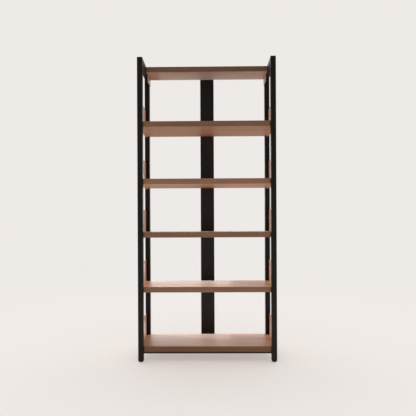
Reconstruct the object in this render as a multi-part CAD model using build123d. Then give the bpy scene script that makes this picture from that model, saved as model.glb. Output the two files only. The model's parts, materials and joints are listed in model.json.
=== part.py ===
from build123d import *
import os

# A tall open bookcase: two black steel side frames, a wooden top board, a fixed bottom shelf
# and lift-out shelves that rest on pins in the posts. Millimetres, +Z up, +Y to the rear.
# The origin is on the floor, under the middle of the bookcase.

# Overall size
WIDTH = 1000.0
DEPTH = 385.0
HEIGHT = 2200.0

# Side frames of square steel tube
POST = 38.0
TUBE_WALL = 2.0
TUBE_CORNER = 2.5
RAIL_HEIGHT = 40.0
BASE_RAIL_HEIGHT = 12.0
BASE_RAIL_WIDTH = 15.0
BASE_RAIL_SETBACK = 19.0
BASE_RAIL_CORNER = 1.5
PLUG_PLAY = 0.1
CAP_PLATE = 2.0
CAP_PLUG_LENGTH = 12.0

# Levelling feet
FOOT_RADIUS = 15.5
FOOT_HEIGHT = 9.0
FOOT_ROUND = 1.5
STEM_RADIUS = 4.0
STEM_LENGTH = 26.0
STEM_FIT = 0.05
INSERT_FLANGE = 2.0
INSERT_LENGTH = 28.0

# Shelves
BOARD_THICKNESS = 40.0
BOARD_ROUND = 1.0
FRONT_SETBACK = 17.0
SHELF_PLAY = 1.5
NOTCH_PLAY = 1.0
CHEEK_THICKNESS = 7.0
CHEEK_INSET = 1.0
CHEEK_RISE = 170.0
CHEEK_ROUND = 1.5
BOTTOM_SHELF_TOP = 110.0
SHELF_TOPS = (540.0, 937.0, 1324.0, 1740.0)

# Half-depth top board with a small cheek under each end
TOP_BOARD_SETBACK = 187.0
TOP_BOARD_BELOW_TOP = 3.0
TOP_BOARD_PLAY = 0.5
TOP_CHEEK_SETBACK = 250.0
TOP_CHEEK_DROP = 50.0

# Centre panel behind the shelves, flush with the backs of the posts
PANEL_WIDTH = 108.0
PANEL_THICKNESS = 17.0
PANEL_GAP = 1.0
PANEL_BELOW_TOP = 4.0
PANEL_ROUND = 1.5
WALL_HOLE_RADIUS = 3.0
WALL_HOLE_BELOW_TOP = 410.0

# Shelf pins and their holes
PIN_RADIUS = 3.0
PIN_FIT = 0.05
PIN_SHANK = 14.0
NOSE_RADIUS = 5.0
NOSE_FLAT = 4.0
NOSE_LENGTH = 10.0
NOSE_ROUND = 0.6
HOLE_PITCH = 20.0
HOLES_EACH_WAY = 2

# Countersunk wood screws
SCREW_HEAD_RADIUS = 4.0
SCREW_HEAD_DEPTH = 2.4
SCREW_RADIUS = 2.0
SCREW_LENGTH = 40.0
SCREW_FIT = 0.05
SCREW_SOCKET_RADIUS = 1.6
SCREW_SOCKET_DEPTH = 1.6
CHEEK_SCREW_SPACING = 105.0
PANEL_SCREW_SPACING = 60.0

# Furniture bolts, reached through a plugged hole in the far wall of the tube
BOLT_RADIUS = 3.0
BOLT_LENGTH = 42.0
BOLT_HEAD_RADIUS = 5.0
BOLT_HEAD_HEIGHT = 4.0
BOLT_SOCKET_RADIUS = 2.2
BOLT_SOCKET_DEPTH = 2.5
BOLT_FIT = 0.1
ACCESS_RADIUS = 7.0
ACCESS_PLUG_THICKNESS = 2.0
FRONT_BOLT_FROM_EDGE = 9.0
TOP_BOLT_SPACING = 90.0
SOCKET_SIDES = 6

# Places worked out from the sizes above
OUTER_X = WIDTH / 2
INNER_X = OUTER_X - POST
POST_X = OUTER_X - POST / 2
FRONT_Y = -DEPTH / 2
REAR_Y = DEPTH / 2
FRONT_POST_BACK = FRONT_Y + POST
REAR_POST_FRONT = REAR_Y - POST
FRONT_POST_Y = FRONT_Y + POST / 2
REAR_POST_Y = REAR_Y - POST / 2
POST_BOTTOM = FOOT_HEIGHT + INSERT_FLANGE
POST_TOP = HEIGHT - CAP_PLATE
CHEEK_OUT_X = OUTER_X - CHEEK_INSET
CHEEK_IN_X = CHEEK_OUT_X - CHEEK_THICKNESS
TOP_BOARD_TOP = HEIGHT - TOP_BOARD_BELOW_TOP
TOP_BOARD_BOTTOM = TOP_BOARD_TOP - BOARD_THICKNESS
PANEL_FRONT = REAR_Y - PANEL_THICKNESS
SIDES = {"left": -1, "right": 1}
ENDS = {"front": -1, "rear": 1}


def block(x_range, y_range, z_range):
    """A rectangular solid between the ends of three ranges."""
    spans = (x_range, y_range, z_range)
    sizes = [high - low for low, high in spans]
    middle = [(high + low) / 2 for low, high in spans]
    return Pos(*middle) * Box(*sizes)


def rod(start, direction, radius, length):
    """A cylinder that starts at a point and runs along a direction."""
    along = (Align.CENTER, Align.CENTER, Align.MIN)
    return Plane(origin=start, z_dir=direction) * Cylinder(radius, length, align=along)


def rounded_bar(x_middle, y_middle, z_range, width, depth, corner):
    """An upright bar with rounded corners."""
    outline = Pos(x_middle, y_middle, z_range[0]) * RectangleRounded(width, depth, corner)
    return extrude(outline, z_range[1] - z_range[0], dir=(0, 0, 1))


def socket_cut(face_point, direction, radius, depth):
    """The hexagon socket in a screw or bolt head."""
    plane = Plane(origin=face_point, z_dir=direction)
    return extrude(plane * RegularPolygon(radius, SOCKET_SIDES), depth)


def wood_screw(head_point, direction, play=0.0):
    """A countersunk screw, or with play the hole that it goes into."""
    plane = Plane(origin=head_point, z_dir=direction)
    along = (Align.CENTER, Align.CENTER, Align.MIN)
    head = plane * Cone(SCREW_HEAD_RADIUS + play, SCREW_RADIUS + play, SCREW_HEAD_DEPTH, align=along)
    shank = rod(head_point, direction, SCREW_RADIUS + play, SCREW_LENGTH + play)
    body = head + shank
    if play > 0:
        return body
    return body - socket_cut(head_point, direction, SCREW_SOCKET_RADIUS, SCREW_SOCKET_DEPTH)


def far_point(point, direction, distance):
    """The point a distance from another along a direction."""
    return tuple(p + d * distance for p, d in zip(point, direction))


def frame_bolt(outer_point, direction):
    """A bolt whose head bears on the inside of the tube's far wall."""
    seat = far_point(outer_point, direction, POST - TUBE_WALL)
    head_top = far_point(seat, direction, -BOLT_HEAD_HEIGHT)
    head = rod(head_top, direction, BOLT_HEAD_RADIUS, BOLT_HEAD_HEIGHT)
    shank = rod(seat, direction, BOLT_RADIUS, BOLT_LENGTH)
    socket = socket_cut(head_top, direction, BOLT_SOCKET_RADIUS, BOLT_SOCKET_DEPTH)
    return head + shank - socket


def frame_bolt_holes(outer_point, direction):
    """The access hole and the shank's hole for a frame bolt."""
    seat = far_point(outer_point, direction, POST - TUBE_WALL)
    access = rod(outer_point, direction, ACCESS_RADIUS, TUBE_WALL)
    shank = rod(seat, direction, BOLT_RADIUS + BOLT_FIT, BOLT_LENGTH + BOLT_FIT)
    return [access, shank]


def access_plug(outer_point, direction):
    """The flush plug that closes a bolt's access hole."""
    return rod(outer_point, direction, ACCESS_RADIUS - BOLT_FIT, ACCESS_PLUG_THICKNESS)


def side_point(side, y, z):
    """A point on the outer side plane of one frame, and the inward direction there."""
    return (side * OUTER_X, y, z), (-side, 0, 0)


# Where the bolts go: top board through the rails, bottom shelf through the posts
TOP_BOARD_MIDDLE_Y = (FRONT_Y + TOP_BOARD_SETBACK + REAR_POST_FRONT) / 2
TOP_BOARD_MIDDLE_Z = TOP_BOARD_TOP - BOARD_THICKNESS / 2
BOTTOM_MIDDLE_Z = BOTTOM_SHELF_TOP - BOARD_THICKNESS / 2
FRONT_BOLT_Y = FRONT_Y + FRONT_SETBACK + FRONT_BOLT_FROM_EDGE


def top_bolts(side):
    """The two bolts that hold one end of the top board to its rail."""
    half = TOP_BOLT_SPACING / 2
    return [side_point(side, TOP_BOARD_MIDDLE_Y + step, TOP_BOARD_MIDDLE_Z) for step in (-half, half)]


def front_bolt(side):
    """The bolt from a front post into the bottom shelf."""
    return side_point(side, FRONT_BOLT_Y, BOTTOM_MIDDLE_Z)


def rear_bolt(side):
    """The bolt from a rear post into the bottom shelf."""
    return (side * POST_X, REAR_Y, BOTTOM_MIDDLE_Z), (0, -1, 0)


def pin_height(shelf_top):
    """The height of the pin's axis under a shelf."""
    return shelf_top - BOARD_THICKNESS - NOSE_FLAT


def pin_holes(side, end):
    """The rows of pin holes in the face of a post that looks at the other post."""
    face = FRONT_POST_BACK if end < 0 else REAR_POST_FRONT
    steps = range(-HOLES_EACH_WAY, HOLES_EACH_WAY + 1)
    holes = []
    for shelf_top in SHELF_TOPS:
        for step in steps:
            height = pin_height(shelf_top) + step * HOLE_PITCH
            start = (side * POST_X, face - end * TUBE_WALL, height)
            holes.append(rod(start, (0, end, 0), PIN_RADIUS, 2 * TUBE_WALL))
    return holes


def post(side, end):
    """One upright tube with its pin holes and bolt holes."""
    y_middle = FRONT_POST_Y if end < 0 else REAR_POST_Y
    x_middle = side * POST_X
    hollow = POST - 2 * TUBE_WALL
    outside = rounded_bar(x_middle, y_middle, (POST_BOTTOM, POST_TOP), POST, POST, TUBE_CORNER)
    inside = rounded_bar(x_middle, y_middle, (0, HEIGHT), hollow, hollow, TUBE_CORNER - TUBE_WALL)
    point, direction = front_bolt(side) if end < 0 else rear_bolt(side)
    return outside - inside - pin_holes(side, end) - frame_bolt_holes(point, direction)


def top_rail(side):
    """The tube that joins the tops of a front and a rear post."""
    length = REAR_POST_FRONT - FRONT_POST_BACK
    middle = (side * POST_X, FRONT_POST_BACK, HEIGHT - RAIL_HEIGHT / 2)
    plane = Plane(origin=middle, x_dir=(1, 0, 0), z_dir=(0, 1, 0))
    wall = 2 * TUBE_WALL
    outside = extrude(plane * RectangleRounded(POST, RAIL_HEIGHT, TUBE_CORNER), length)
    hollow = plane * RectangleRounded(POST - wall, RAIL_HEIGHT - wall, TUBE_CORNER - TUBE_WALL)
    rail = outside - extrude(hollow, length)
    for point, direction in top_bolts(side):
        rail = rail - frame_bolt_holes(point, direction)
    return rail


def base_rail(end):
    """The flat bar welded between two posts, which carries one long edge of the bottom shelf."""
    outer = end * (DEPTH / 2 - BASE_RAIL_SETBACK)
    inner = outer - end * BASE_RAIL_WIDTH
    top = BOTTOM_SHELF_TOP - BOARD_THICKNESS
    bar = block((-INNER_X, INNER_X), (min(inner, outer), max(inner, outer)), (top - BASE_RAIL_HEIGHT, top))
    return fillet(bar.edges().filter_by(Axis.X), BASE_RAIL_CORNER)


def tube_plug(x, y, plate_range, plug_range):
    """A plastic plug: a plate the size of the tube and a stub inside it."""
    inside = POST - 2 * TUBE_WALL - 2 * PLUG_PLAY
    plate = rounded_bar(x, y, plate_range, POST, POST, TUBE_CORNER)
    stub = rounded_bar(x, y, plug_range, inside, inside, TUBE_CORNER - TUBE_WALL)
    return plate + stub


def each_post():
    """The middle of every post in plan."""
    corners = []
    for side in SIDES.values():
        corners.append((side * POST_X, FRONT_POST_Y))
        corners.append((side * POST_X, REAR_POST_Y))
    return corners


def post_caps():
    """The four caps in the tops of the posts."""
    plate = (POST_TOP, HEIGHT)
    stub = (POST_TOP - CAP_PLUG_LENGTH, POST_TOP)
    return Compound(children=[tube_plug(x, y, plate, stub) for x, y in each_post()])


def foot_inserts():
    """The four threaded inserts in the bottoms of the posts."""
    inserts = []
    for x, y in each_post():
        insert = tube_plug(x, y, (FOOT_HEIGHT, POST_BOTTOM), (POST_BOTTOM, POST_BOTTOM + INSERT_LENGTH))
        hole = rod((x, y, 0), (0, 0, 1), STEM_RADIUS + STEM_FIT, HEIGHT / 2)
        inserts.append(insert - hole)
    return Compound(children=inserts)


def foot(side, end):
    """A levelling foot: a round pad on a threaded stem, screwed right in."""
    x = side * POST_X
    y = FRONT_POST_Y if end < 0 else REAR_POST_Y
    pad = rod((x, y, 0), (0, 0, 1), FOOT_RADIUS, FOOT_HEIGHT)
    pad = fillet(pad.edges().filter_by(GeomType.CIRCLE).group_by(Axis.Z)[0], FOOT_ROUND)
    stem = rod((x, y, FOOT_HEIGHT), (0, 0, 1), STEM_RADIUS, STEM_LENGTH)
    return pad + stem


def shelf_cheek(side, shelf_top):
    """The upright board on one end of a shelf, screwed to the shelf's end."""
    inner = side * CHEEK_IN_X
    outer = side * CHEEK_OUT_X
    x_range = (min(inner, outer), max(inner, outer))
    y_range = (FRONT_POST_BACK + SHELF_PLAY, REAR_POST_FRONT - SHELF_PLAY)
    cheek = block(x_range, y_range, (shelf_top - BOARD_THICKNESS, shelf_top + CHEEK_RISE))
    cheek = fillet(cheek.faces().sort_by(Axis.Z)[-1].edges(), CHEEK_ROUND)
    holes = [wood_screw(point, direction, SCREW_FIT) for point, direction in cheek_screws(side, shelf_top)]
    return cheek - holes


def cheek_screws(side, shelf_top):
    """Where the three screws through one cheek start, and which way they run."""
    height = shelf_top - BOARD_THICKNESS / 2
    steps = (-CHEEK_SCREW_SPACING, 0, CHEEK_SCREW_SPACING)
    return [((side * CHEEK_OUT_X, step, height), (-side, 0, 0)) for step in steps]


def shelf_screws(shelf_top):
    """All the screws of one shelf."""
    screws = []
    for side in SIDES.values():
        for point, direction in cheek_screws(side, shelf_top):
            screws.append(wood_screw(point, direction))
    return Compound(children=screws)


def shelf_board(shelf_top, rear):
    """A shelf that reaches past the posts' inner sides and is notched round all four posts."""
    z_range = (shelf_top - BOARD_THICKNESS, shelf_top)
    front = FRONT_Y + FRONT_SETBACK
    between_posts = (FRONT_POST_BACK + SHELF_PLAY, REAR_POST_FRONT - SHELF_PLAY)
    narrow_half = INNER_X - NOTCH_PLAY
    wide_part = block((-CHEEK_IN_X, CHEEK_IN_X), between_posts, z_range)
    long_part = block((-narrow_half, narrow_half), (front, rear), z_range)
    board = wide_part + long_part
    board = fillet(board.faces().sort_by(Axis.Y)[0].edges(), BOARD_ROUND)
    board = fillet(board.faces().sort_by(Axis.Y)[-1].edges(), BOARD_ROUND)
    for side in SIDES.values():
        for point, direction in cheek_screws(side, shelf_top):
            board = board - wood_screw(point, direction, SCREW_FIT)
    return board


def bottom_board():
    """The fixed shelf, bored for the frame bolts and the centre panel's screws."""
    board = shelf_board(BOTTOM_SHELF_TOP, PANEL_FRONT)
    for side in SIDES.values():
        for point, direction in (front_bolt(side), rear_bolt(side)):
            board = board - frame_bolt_holes(point, direction)
    for point, direction in panel_screw_places(BOTTOM_MIDDLE_Z):
        board = board - wood_screw(point, direction, SCREW_FIT)
    return board


def top_board():
    """The half-depth board between the rails, just below their tops."""
    half = INNER_X - TOP_BOARD_PLAY
    y_range = (FRONT_Y + TOP_BOARD_SETBACK, PANEL_FRONT)
    board = block((-half, half), y_range, (TOP_BOARD_BOTTOM, TOP_BOARD_TOP))
    long_edges = board.edges().filter_by(Axis.X)
    board = fillet(long_edges, BOARD_ROUND)
    for side in SIDES.values():
        for point, direction in top_bolts(side):
            board = board - frame_bolt_holes(point, direction)
    for point, direction in panel_screw_places(TOP_BOARD_MIDDLE_Z):
        board = board - wood_screw(point, direction, SCREW_FIT)
    return board


def top_cheek(side):
    """The small board glued under one end of the top board."""
    outer = side * (INNER_X - TOP_BOARD_PLAY)
    inner = outer - side * CHEEK_THICKNESS
    x_range = (min(inner, outer), max(inner, outer))
    y_range = (FRONT_Y + TOP_CHEEK_SETBACK, PANEL_FRONT)
    cheek = block(x_range, y_range, (TOP_BOARD_BOTTOM - TOP_CHEEK_DROP, TOP_BOARD_BOTTOM))
    return fillet(cheek.edges().filter_by(Axis.Y).group_by(Axis.Z)[0], CHEEK_ROUND)


def panel_screw_places(height):
    """Where the centre panel's screws start at one height, and which way they run."""
    half = PANEL_SCREW_SPACING / 2
    rear = PANEL_FRONT + PANEL_THICKNESS
    return [((x, rear, height), (0, -1, 0)) for x in (-half, half)]


def all_panel_screws():
    """Every screw of the centre panel."""
    return panel_screw_places(TOP_BOARD_MIDDLE_Z) + panel_screw_places(BOTTOM_MIDDLE_Z)


def centre_panel():
    """The upright panel behind the shelves, with a hole for a screw into a wall."""
    half = PANEL_WIDTH / 2
    z_range = (BOTTOM_SHELF_TOP - BOARD_THICKNESS, HEIGHT - PANEL_BELOW_TOP)
    panel = block((-half, half), (PANEL_FRONT, PANEL_FRONT + PANEL_THICKNESS), z_range)
    panel = fillet(panel.edges().filter_by(Axis.Z), PANEL_ROUND)
    panel = panel - [wood_screw(point, direction, SCREW_FIT) for point, direction in all_panel_screws()]
    wall_hole = (0, PANEL_FRONT, HEIGHT - WALL_HOLE_BELOW_TOP)
    return panel - rod(wall_hole, (0, 1, 0), WALL_HOLE_RADIUS, PANEL_THICKNESS)


def shelf_pin(side, end, shelf_top):
    """A push-in pin: a shank in the post and a nose, flat on top, that the shelf rests on."""
    face = FRONT_POST_BACK if end < 0 else REAR_POST_FRONT
    middle = (side * POST_X, face, pin_height(shelf_top))
    nose = rod(middle, (0, -end, 0), NOSE_RADIUS, NOSE_LENGTH)
    tip = nose.edges().filter_by(GeomType.CIRCLE).sort_by(Axis.Y)[0 if end > 0 else -1]
    nose = fillet(tip, NOSE_ROUND)
    flat_size = 2 * (NOSE_RADIUS + NOSE_LENGTH)
    above = Pos(middle[0], middle[1], middle[2] + NOSE_FLAT + flat_size / 2) * Box(flat_size, flat_size, flat_size)
    shank = rod(middle, (0, end, 0), PIN_RADIUS - PIN_FIT, PIN_SHANK)
    return nose - above + shank


def frame_nodes():
    """The nodes of the steel side frames."""
    nodes = {"post_caps": post_caps(), "foot_inserts": foot_inserts()}
    for side_name, side in SIDES.items():
        nodes[f"top_rail_{side_name}"] = top_rail(side)
        for end_name, end in ENDS.items():
            nodes[f"{end_name}_post_{side_name}"] = post(side, end)
            nodes[f"foot_{end_name}_{side_name}"] = foot(side, end)
    for end_name, end in ENDS.items():
        nodes[f"base_rail_{end_name}"] = base_rail(end)
    return nodes


def fixed_nodes():
    """The nodes of the top board, bottom shelf and centre panel, and their fasteners."""
    nodes = {"top_board": top_board(), "bottom_shelf_board": bottom_board(), "centre_panel": centre_panel()}
    for side_name, side in SIDES.items():
        nodes[f"top_cheek_{side_name}"] = top_cheek(side)
        nodes[f"bottom_shelf_cheek_{side_name}"] = shelf_cheek(side, BOTTOM_SHELF_TOP)
    nodes["bottom_shelf_screws"] = shelf_screws(BOTTOM_SHELF_TOP)
    nodes["panel_screws"] = Compound(children=[wood_screw(*place) for place in all_panel_screws()])
    top_places = [place for side in SIDES.values() for place in top_bolts(side)]
    bottom_places = [place for side in SIDES.values() for place in (front_bolt(side), rear_bolt(side))]
    nodes["top_board_bolts"] = Compound(children=[frame_bolt(*place) for place in top_places])
    nodes["bottom_shelf_bolts"] = Compound(children=[frame_bolt(*place) for place in bottom_places])
    nodes["access_plugs"] = Compound(children=[access_plug(*place) for place in top_places + bottom_places])
    return nodes


def shelf_nodes(number, shelf_top):
    """The nodes of one adjustable shelf and its four pins."""
    name = f"shelf_{number}"
    board = shelf_board(shelf_top, PANEL_FRONT - PANEL_GAP)
    nodes = {f"{name}_board": board, f"{name}_screws": shelf_screws(shelf_top)}
    for side_name, side in SIDES.items():
        nodes[f"{name}_cheek_{side_name}"] = shelf_cheek(side, shelf_top)
        for end_name, end in ENDS.items():
            nodes[f"{name}_pin_{end_name}_{side_name}"] = shelf_pin(side, end, shelf_top)
    return nodes


os.makedirs("parts", exist_ok=True)
every_node = frame_nodes() | fixed_nodes()
for shelf_number, shelf_height in enumerate(SHELF_TOPS, start=1):
    every_node |= shelf_nodes(shelf_number, shelf_height)
for node_name, shape in every_node.items():
    export_step(shape, f"parts/{node_name}.step")
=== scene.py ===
import json
import math
import random

import bpy
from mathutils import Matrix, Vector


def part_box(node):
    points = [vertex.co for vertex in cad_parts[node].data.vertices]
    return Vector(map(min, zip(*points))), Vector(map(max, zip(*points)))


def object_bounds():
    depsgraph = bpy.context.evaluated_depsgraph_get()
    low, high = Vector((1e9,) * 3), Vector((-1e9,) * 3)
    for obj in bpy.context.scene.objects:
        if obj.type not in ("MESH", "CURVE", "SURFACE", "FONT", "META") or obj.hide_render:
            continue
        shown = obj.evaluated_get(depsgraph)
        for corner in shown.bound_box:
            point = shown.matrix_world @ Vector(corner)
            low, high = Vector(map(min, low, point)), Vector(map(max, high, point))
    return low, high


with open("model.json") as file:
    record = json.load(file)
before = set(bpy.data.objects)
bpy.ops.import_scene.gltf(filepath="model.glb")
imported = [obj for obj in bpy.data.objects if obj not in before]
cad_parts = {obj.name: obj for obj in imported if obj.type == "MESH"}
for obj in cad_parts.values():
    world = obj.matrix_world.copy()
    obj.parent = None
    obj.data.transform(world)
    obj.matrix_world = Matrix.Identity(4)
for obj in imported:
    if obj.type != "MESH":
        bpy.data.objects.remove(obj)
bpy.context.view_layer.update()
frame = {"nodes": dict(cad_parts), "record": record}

# The camera, in metres from the bookcase's front plane and floor, and its turns in degrees
CAMERA_DISTANCE = 3.01
CAMERA_SIDE = 0.034
CAMERA_HEIGHT = 0.987
CAMERA_LENS = 36.25
CAMERA_SHIFT = (0.0025, 0.0409)
CAMERA_TILT = 90.0
CAMERA_ROLL = 0.26
CAMERA_YAW = 0.65

# The studio: a pale round floor that fades out into pale surroundings
FLOOR_RADIUS = 4.0
FLOOR_FADE_START = 2.0
FLOOR_SIDES = 96
FLOOR_COLOUR = (0.80, 0.77, 0.748)
FLOOR_GLOW = 0.435
FLOOR_ROUGHNESS = 0.9
SURROUNDINGS = (0.855, 0.823, 0.799)
# How bright the sky and the ground are, and the bands of direction over which they change
SKY_TINT = (1.0, 0.985, 0.97)
SKY_IN_FRONT = 0.22
SKY_BEHIND_LOW, SKY_BEHIND_HIGH = 2.3, 0.5
SKY_BAND = (0.14, 0.28)
GROUND_BEHIND, GROUND_IN_FRONT = 0.3, 0.75
BEHIND_BAND = (-0.4, 0.4)
HORIZON_BAND = (-0.1, 0.1)
SPREAD = math.radians(28.0)
NARROW_SPREAD = math.radians(10.0)
WIDE_SPREAD = math.radians(100.0)
# Each lamp's name, place, strength, spread, whether it makes glints, what it lights
# and what shades it
LAMPS = (
    ("key_light", (-2.8, 1.1, 1.15), 3.2, NARROW_SPREAD, False, "other_pieces", "every_piece"),
    ("shaft_light", (-2.8, 1.48, 1.2), 4.0, NARROW_SPREAD, False, "lowest_shelf", "panel"),
    ("fill_light", (2.8, 1.4, 1.0), 2.2, SPREAD, False, "every_piece", "every_piece"),
    ("top_light", (-0.3, 0.6, 3.0), 1.1, SPREAD, False, "every_piece", "panel"),
    ("back_light", (-0.8, 2.5, 1.9), 0.5, SPREAD, True, "every_piece", "all_but_panel"),
    ("bounce_light", (0.2, 0.5, -3.0), 1.35, SPREAD, False, "high_pieces", "panel"),
    ("floor_light", (0.0, 0.3, 3.0), 0.74, WIDE_SPREAD, False, "floor", "every_piece"),
)
# Each long low lamp behind a shelf: its name, place, power, width and what it lights
GLOWS = (
    ("shelf_glow", (-0.22, 0.62, 0.60), 1.1, 0.85, "lowest_shelf"),
    ("top_glow", (0.05, 0.30, 2.12), 0.32, 0.9, "top_board"),
    ("base_glow", (-0.15, 0.24, 0.140), 0.25, 0.66, "bottom_shelf"),
    ("base_haze", (0.0, 0.24, 0.140), 0.38, 0.92, "bottom_shelf"),
)
GLOW_HEIGHT = 0.08
# How the names of the pieces start that the bounce light doesn't reach
LOW_PIECES = ("bottom", "base", "foot")
# How much lighter or darker each board is painted than the others: painted light and shade, a tone
# fitted shelf by shelf to how light falls on it, though all the boards are the same wood
BOARD_PAINTED_LIGHT_TONES = {
    "shelf_1_board": 1.08,
    "shelf_3_board": 1.22,
    "shelf_4_board": 0.96,
    "bottom_shelf_board": 0.86,
    "top_board": 0.74,
}


def add(tree, kind, settings=None, **inputs):
    """Adds a shader node. A value that is a socket is linked, any other is set on the socket."""
    made = tree.nodes.new(kind)
    for key, value in (settings or {}).items():
        setattr(made, key, value)
    for name, value in inputs.items():
        socket = made.inputs[name.replace("_", " ")]
        if isinstance(value, bpy.types.NodeSocket):
            tree.links.new(value, socket)
        else:
            socket.default_value = value
    return made


def new_material(name):
    """An empty node material, its tree and its surface node."""
    material = bpy.data.materials.new(name)
    material.use_nodes = True
    tree = material.node_tree
    return material, tree, tree.nodes["Principled BSDF"]


def feed(tree, shader, **sources):
    """Links sources to a shader's sockets."""
    for name, source in sources.items():
        tree.links.new(source, shader.inputs[name.replace("_", " ")])


def stretched(tree, scale):
    """Object coordinates, scaled a different amount along each axis."""
    place = add(tree, "ShaderNodeTexCoord").outputs["Object"]
    return add(tree, "ShaderNodeMapping", Vector=place, Scale=scale).outputs["Vector"]


def noise(tree, scale, detail=4.0, roughness=0.55, distortion=0.0):
    """Noise over object space, with its own scale along each axis, in waves a metre."""
    vector = stretched(tree, scale)
    made = add(tree, "ShaderNodeTexNoise", Vector=vector, Scale=1.0, Detail=detail,
               Roughness=roughness, Distortion=distortion)
    return made.outputs["Fac"]


def math_node(tree, operation, first, second):
    """One arithmetic step between two sockets or numbers."""
    made = tree.nodes.new("ShaderNodeMath")
    made.operation = operation
    for socket, value in zip(made.inputs, (first, second)):
        if isinstance(value, bpy.types.NodeSocket):
            tree.links.new(value, socket)
        else:
            socket.default_value = value
    return made.outputs["Value"]


def remap(tree, source, low, high, new_low, new_high):
    """A source stretched from one range to another, and held inside it."""
    made = add(tree, "ShaderNodeMapRange", Value=source, From_Min=low, From_Max=high,
               To_Min=new_low, To_Max=new_high)
    return made.outputs["Result"]


def ramp(tree, source, stops):
    """A colour ramp through (position, colour) stops."""
    made = add(tree, "ShaderNodeValToRGB", Fac=source)
    elements = made.color_ramp.elements
    for _ in stops[2:]:
        elements.new(0.5)
    for element, (position, colour) in zip(elements, stops):
        element.position = position
        element.color = (*colour, 1.0)
    return made.outputs["Color"]


def multiply(tree, colour, factor):
    """A colour made darker or lighter by a grey factor."""
    made = tree.nodes.new("ShaderNodeMix")
    made.data_type = "RGBA"
    made.blend_type = "MULTIPLY"
    made.inputs["Factor"].default_value = 1.0
    tree.links.new(colour, made.inputs[6])
    tree.links.new(factor, made.inputs[7])
    return made.outputs[2]


def bump(tree, height, strength, distance):
    """A bumped normal."""
    made = add(tree, "ShaderNodeBump", Height=height, Strength=strength, Distance=distance)
    return made.outputs["Normal"]


def along(axis, length_scale, across_scale):
    """Scales for a texture that runs along one axis."""
    return tuple(length_scale if axis == name else across_scale for name in "XYZ")


# The wood's colours from its dark streaks to its pale ones, on the boards and on the cheeks. The
# cheeks' stops are paler than the boards': painted light, standing in for the light and sheen on
# their inner faces
WALNUT = [
    (0.22, (0.150, 0.066, 0.033)),
    (0.42, (0.270, 0.128, 0.068)),
    (0.58, (0.345, 0.172, 0.095)),
    (0.80, (0.440, 0.240, 0.145)),
]
CHEEK_PAINTED_LIGHT_WALNUT = [
    (0.22, (0.195, 0.100, 0.060)),
    (0.42, (0.340, 0.188, 0.124)),
    (0.58, (0.430, 0.250, 0.175)),
    (0.80, (0.540, 0.340, 0.250)),
]
# Roughness at its highest and lowest, and the specular level
BOARD_SHEEN = (0.50, 0.40, 0.5)
BOTTOM_SHEEN = (0.50, 0.40, 0.2)
CHEEK_SHEEN = (0.36, 0.28, 1.0)
# Growth rings, in metres: how far apart they are, how far apart the wave texture draws them
# at a scale of 1, how far they wander and how much they are drawn out along the grain
RING_SPACING = 0.0055
RING_WAVE = 0.314
RING_WANDER = 0.07
RING_SQUASH = 0.10
# How far under a board the line is that its rings go round
HEART_DROP = (0.05, 0.16)
HEART_SEED = 7


def growth_rings(tree, grain_axis, heart):
    """Growth rings round a wandering line that runs along the grain through the point heart."""
    place = add(tree, "ShaderNodeTexCoord").outputs["Object"]
    squash = along(grain_axis, RING_SQUASH, 1.0)
    offset = tuple(-h * k for h, k in zip(heart, squash))
    mapping = add(tree, "ShaderNodeMapping", Vector=place, Location=offset, Scale=squash)
    local = mapping.outputs["Vector"]
    drift = add(tree, "ShaderNodeTexNoise", Vector=local, Scale=7.0, Detail=2.0, Roughness=0.45)
    wander = tree.nodes.new("ShaderNodeVectorMath")
    wander.operation = "MULTIPLY_ADD"
    tree.links.new(drift.outputs["Color"], wander.inputs[0])
    wander.inputs[1].default_value = (RING_WANDER, RING_WANDER, RING_WANDER)
    tree.links.new(local, wander.inputs[2])
    rings = add(tree, "ShaderNodeTexWave", {"wave_type": "RINGS", "rings_direction": grain_axis},
                Vector=wander.outputs["Vector"], Scale=RING_WAVE / RING_SPACING)
    return rings.outputs["Fac"]


def weighted(tree, parts):
    """The sum of (source, weight) parts."""
    total = None
    for source, weight in parts:
        share = math_node(tree, "MULTIPLY", source, weight)
        total = share if total is None else math_node(tree, "ADD", total, share)
    return total


def lightened(tones, factor):
    """Colour stops made lighter or darker."""
    return [(position, tuple(channel * factor for channel in colour)) for position, colour in tones]


def wood(name, grain_axis, heart, tones, sheen):
    """Satin walnut with growth rings, streaks, fibres and pores that run along the grain."""
    material, tree, shader = new_material(name)
    rings = growth_rings(tree, grain_axis, heart)
    broad = noise(tree, along(grain_axis, 0.9, 8.0), detail=2.0)
    streaks = noise(tree, along(grain_axis, 1.6, 60.0), detail=5.0, roughness=0.6, distortion=0.6)
    fibres = noise(tree, along(grain_axis, 12.0, 620.0), detail=3.0)
    pores = noise(tree, along(grain_axis, 45.0, 1500.0), detail=1.0)
    mixed = weighted(tree, [(rings, 0.16), (broad, 0.34), (streaks, 0.34), (fibres, 0.16)])
    pore_mask = remap(tree, pores, 0.30, 0.40, 0.6, 1.0)
    colour = multiply(tree, ramp(tree, mixed, tones), pore_mask)
    height = weighted(tree, [(fibres, 0.4), (pore_mask, 1.0), (rings, 0.1)])
    rough, smooth, specular = sheen
    feed(tree, shader, Base_Color=colour, Roughness=remap(tree, streaks, 0.3, 0.7, rough, smooth),
         Normal=bump(tree, height, 0.25, 0.0004))
    shader.inputs["Specular IOR Level"].default_value = specular
    return material


def painted(name, dark, light, roughness, specular):
    """Black paint with a faint orange peel and uneven tone."""
    material, tree, shader = new_material(name)
    peel = noise(tree, (900.0, 900.0, 900.0), detail=1.0)
    patches = noise(tree, (6.0, 6.0, 3.0), detail=4.0)
    colour = ramp(tree, patches, [(0.3, dark), (0.7, light)])
    spread = remap(tree, patches, 0.3, 0.7, roughness - 0.05, roughness + 0.05)
    feed(tree, shader, Base_Color=colour, Roughness=spread, Normal=bump(tree, peel, 0.12, 0.0003))
    shader.inputs["Specular IOR Level"].default_value = specular
    return material


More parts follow.
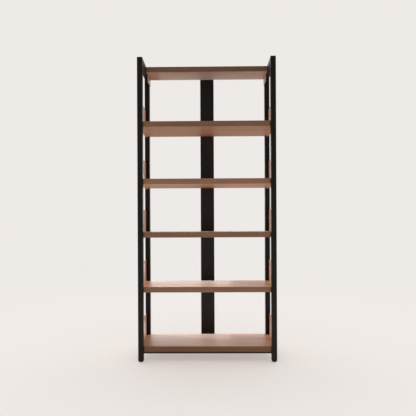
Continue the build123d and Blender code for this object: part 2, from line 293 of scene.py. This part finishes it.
def plastic(name, dark, light):
    """Fine-textured moulded plastic."""
    material, tree, shader = new_material(name)
    grit = noise(tree, (1400.0, 1400.0, 1400.0), detail=2.0)
    feed(tree, shader, Base_Color=ramp(tree, grit, [(0.35, dark), (0.65, light)]),
         Roughness=remap(tree, grit, 0.3, 0.7, 0.5, 0.65), Normal=bump(tree, grit, 0.2, 0.0002))
    shader.inputs["Specular IOR Level"].default_value = 0.4
    return material


def zinc(name, dark, light):
    """Bright zinc plate with faint brushing."""
    material, tree, shader = new_material(name)
    brushing = noise(tree, (300.0, 300.0, 2500.0), detail=3.0)
    feed(tree, shader, Base_Color=ramp(tree, brushing, [(0.3, dark), (0.7, light)]),
         Roughness=remap(tree, brushing, 0.3, 0.7, 0.28, 0.42),
         Normal=bump(tree, brushing, 0.15, 0.0001))
    shader.inputs["Metallic"].default_value = 1.0
    return material


def heart_under(node, drop):
    """A point below a node's middle, for the line that its growth rings go round."""
    low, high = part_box(node)
    return ((low.x + high.x) / 2, (low.y + high.y) / 2, low.z - drop)


def paint_nodes():
    """Gives every CAD node its material, by the record's material slot."""
    by_slot = {
        "frame_black": painted("frame_powder_coat", (0.0105, 0.0070, 0.0046),
                               (0.0150, 0.0105, 0.0074), 0.42, 0.22),
        "plastic_black": plastic("black_plastic", (0.010, 0.009, 0.009), (0.015, 0.014, 0.014)),
        "foot_plastic": plastic("foot_plastic", (0.012, 0.011, 0.011), (0.018, 0.017, 0.016)),
        "panel_black": painted("panel_lacquer", (0.0080, 0.0055, 0.0052),
                               (0.0150, 0.0105, 0.0098), 0.38, 0.30),
        "zinc_steel": zinc("zinc_plate", (0.50, 0.50, 0.49), (0.66, 0.66, 0.64)),
        "black_steel": zinc("black_zinc_plate", (0.030, 0.030, 0.030), (0.050, 0.050, 0.048)),
    }
    drops = random.Random(HEART_SEED)
    for part in frame["record"]["subparts"]:
        name, slot = part["node"], part["material_slot"]
        if slot in by_slot:
            material = by_slot[slot]
        elif slot == "wood_walnut":
            heart = heart_under(name, drops.uniform(*HEART_DROP))
            # Painted light and shade: the board's wood is made lighter or darker by its factor in
            # the table above, not because the wood differs
            tones = lightened(WALNUT, BOARD_PAINTED_LIGHT_TONES.get(name, 1.0))
            sheen = BOTTOM_SHEEN if name == "bottom_shelf_board" else BOARD_SHEEN
            material = wood(f"walnut_{name}", "X", heart, tones, sheen)
        else:
            heart = heart_under(name, drops.uniform(*HEART_DROP))
            # The cheeks get the paler stops: painted light that stands in for the light and sheen
            # on their inner faces
            material = wood(f"walnut_{name}", "Y", heart, CHEEK_PAINTED_LIGHT_WALNUT, CHEEK_SHEEN)
        node = frame["nodes"][name]
        node.data.materials.clear()
        node.data.materials.append(material)


def studio_floor():
    """A round pale floor whose rim fades to nothing."""
    turns = [math.tau * step / FLOOR_SIDES for step in range(FLOOR_SIDES)]
    points = [(FLOOR_RADIUS * math.cos(turn), FLOOR_RADIUS * math.sin(turn), 0.0) for turn in turns]
    mesh = bpy.data.meshes.new("studio_floor")
    mesh.from_pydata(points, [], [tuple(range(FLOOR_SIDES))])
    floor = bpy.data.objects.new("studio_floor", mesh)
    bpy.context.scene.collection.objects.link(floor)
    material, tree, shader = new_material("floor_paper")
    shader.inputs["Base Color"].default_value = (*FLOOR_COLOUR, 1.0)
    shader.inputs["Roughness"].default_value = FLOOR_ROUGHNESS
    shader.inputs["Specular IOR Level"].default_value = 0.0
    shader.inputs["Emission Color"].default_value = (*SURROUNDINGS, 1.0)
    shader.inputs["Emission Strength"].default_value = FLOOR_GLOW
    place = add(tree, "ShaderNodeTexCoord").outputs["Object"]
    away = tree.nodes.new("ShaderNodeVectorMath")
    away.operation = "LENGTH"
    tree.links.new(place, away.inputs[0])
    solid = remap(tree, away.outputs["Value"], FLOOR_FADE_START, FLOOR_RADIUS, 1.0, 0.0)
    feed(tree, shader, Alpha=solid)
    mesh.materials.append(material)
    return floor


def mix_values(tree, share, first, second):
    """The first value where share is 0 and the second where it is 1."""
    made = tree.nodes.new("ShaderNodeMix")
    tree.links.new(share, made.inputs["Factor"])
    for socket, value in ((made.inputs[2], first), (made.inputs[3], second)):
        if isinstance(value, bpy.types.NodeSocket):
            tree.links.new(value, socket)
        else:
            socket.default_value = value
    return made.outputs[0]


def studio_world():
    """Pale surroundings that light the bookcase more from behind than from in front."""
    world = bpy.data.worlds.new("studio_world")
    bpy.context.scene.world = world
    world.use_nodes = True
    tree = world.node_tree
    seen = tree.nodes["Background"]
    seen.inputs["Color"].default_value = (*SURROUNDINGS, 1.0)
    place = add(tree, "ShaderNodeTexCoord").outputs["Generated"]
    direction = add(tree, "ShaderNodeSeparateXYZ", Vector=place)
    behind = remap(tree, direction.outputs["Y"], *BEHIND_BAND, 0.0, 1.0)
    above = remap(tree, direction.outputs["Z"], *HORIZON_BAND, 0.0, 1.0)
    sky_behind = remap(tree, direction.outputs["Z"], *SKY_BAND, SKY_BEHIND_LOW, SKY_BEHIND_HIGH)
    sky = mix_values(tree, behind, SKY_IN_FRONT, sky_behind)
    ground = mix_values(tree, behind, GROUND_IN_FRONT, GROUND_BEHIND)
    strength = mix_values(tree, above, ground, sky)
    light = add(tree, "ShaderNodeBackground", Color=(*SKY_TINT, 1.0), Strength=strength)
    pick = tree.nodes.new("ShaderNodeMixShader")
    tree.links.new(add(tree, "ShaderNodeLightPath").outputs["Is Camera Ray"], pick.inputs["Fac"])
    tree.links.new(light.outputs["Background"], pick.inputs[1])
    tree.links.new(seen.outputs["Background"], pick.inputs[2])
    tree.links.new(pick.outputs["Shader"], tree.nodes["World Output"].inputs["Surface"])


def gathered(name, nodes):
    """A collection of CAD nodes, for a light that falls on them alone."""
    made = bpy.data.collections.new(name)
    for node in nodes:
        made.objects.link(node)
    return made


def lamp(name, comes_from, strength, spread, glints, lit, in_the_way):
    """A soft light from one side. It falls on some objects alone, and only some shade it."""
    data = bpy.data.lights.new(name, "SUN")
    data.energy = strength
    data.angle = spread
    light = bpy.data.objects.new(name, data)
    bpy.context.scene.collection.objects.link(light)
    light.location = comes_from
    light.rotation_euler = (-Vector(comes_from)).to_track_quat("-Z", "Y").to_euler()
    light.visible_glossy = glints
    light.light_linking.receiver_collection = lit
    light.light_linking.blocker_collection = in_the_way


def glow(name, place, power, width, lit, in_the_way):
    """A long low light behind a shelf, facing the front, that makes a sheen on its rear part."""
    data = bpy.data.lights.new(name, "AREA")
    data.energy = power
    data.shape = "RECTANGLE"
    data.size, data.size_y = width, GLOW_HEIGHT
    light = bpy.data.objects.new(name, data)
    bpy.context.scene.collection.objects.link(light)
    light.location = place
    light.rotation_euler = (math.radians(-90.0), 0.0, 0.0)
    light.visible_camera = False
    light.light_linking.receiver_collection = lit
    light.light_linking.blocker_collection = in_the_way


def studio_lights(floor):
    """Lamps on both sides, above and behind, the bounce off the floor, and a lamp for the floor."""
    nodes = frame["nodes"]
    names = {
        "every_piece": list(nodes),
        "other_pieces": [name for name in nodes if not name.startswith("shelf_1")],
        "lowest_shelf": [name for name in nodes if name.startswith("shelf_1")],
        "bottom_shelf": [name for name in nodes if name.startswith("bottom_shelf")],
        "high_pieces": [name for name in nodes if not name.startswith(LOW_PIECES)],
        "all_but_panel": [name for name in nodes if name != "centre_panel"],
        "panel": ["centre_panel"],
        "top_board": ["top_board"],
    }
    groups = {}
    for group, members in names.items():
        groups[group] = gathered(group, [nodes[name] for name in members])
    groups["floor"] = gathered("floor", [floor])
    for name, comes_from, strength, spread, glints, lit, in_the_way in LAMPS:
        lamp(name, comes_from, strength, spread, glints, groups[lit], groups[in_the_way])
    for name, place, power, width, lit in GLOWS:
        glow(name, place, power, width, groups[lit], groups["all_but_panel"])


def studio_camera():
    """The camera, level, a little to the right of the bookcase's middle."""
    low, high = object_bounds()
    data = bpy.data.cameras.new("camera")
    data.lens = CAMERA_LENS
    data.shift_x, data.shift_y = CAMERA_SHIFT
    camera = bpy.data.objects.new("camera", data)
    bpy.context.scene.collection.objects.link(camera)
    middle = (low.x + high.x) / 2
    camera.location = (middle + CAMERA_SIDE, low.y - CAMERA_DISTANCE, low.z + CAMERA_HEIGHT)
    turns = (CAMERA_TILT, CAMERA_ROLL, CAMERA_YAW)
    camera.rotation_euler = [math.radians(turn) for turn in turns]
    bpy.context.scene.camera = camera


studio_camera()
studio_world()
studio_lights(studio_floor())
paint_nodes()
bpy.context.scene.view_settings.view_transform = "Standard"
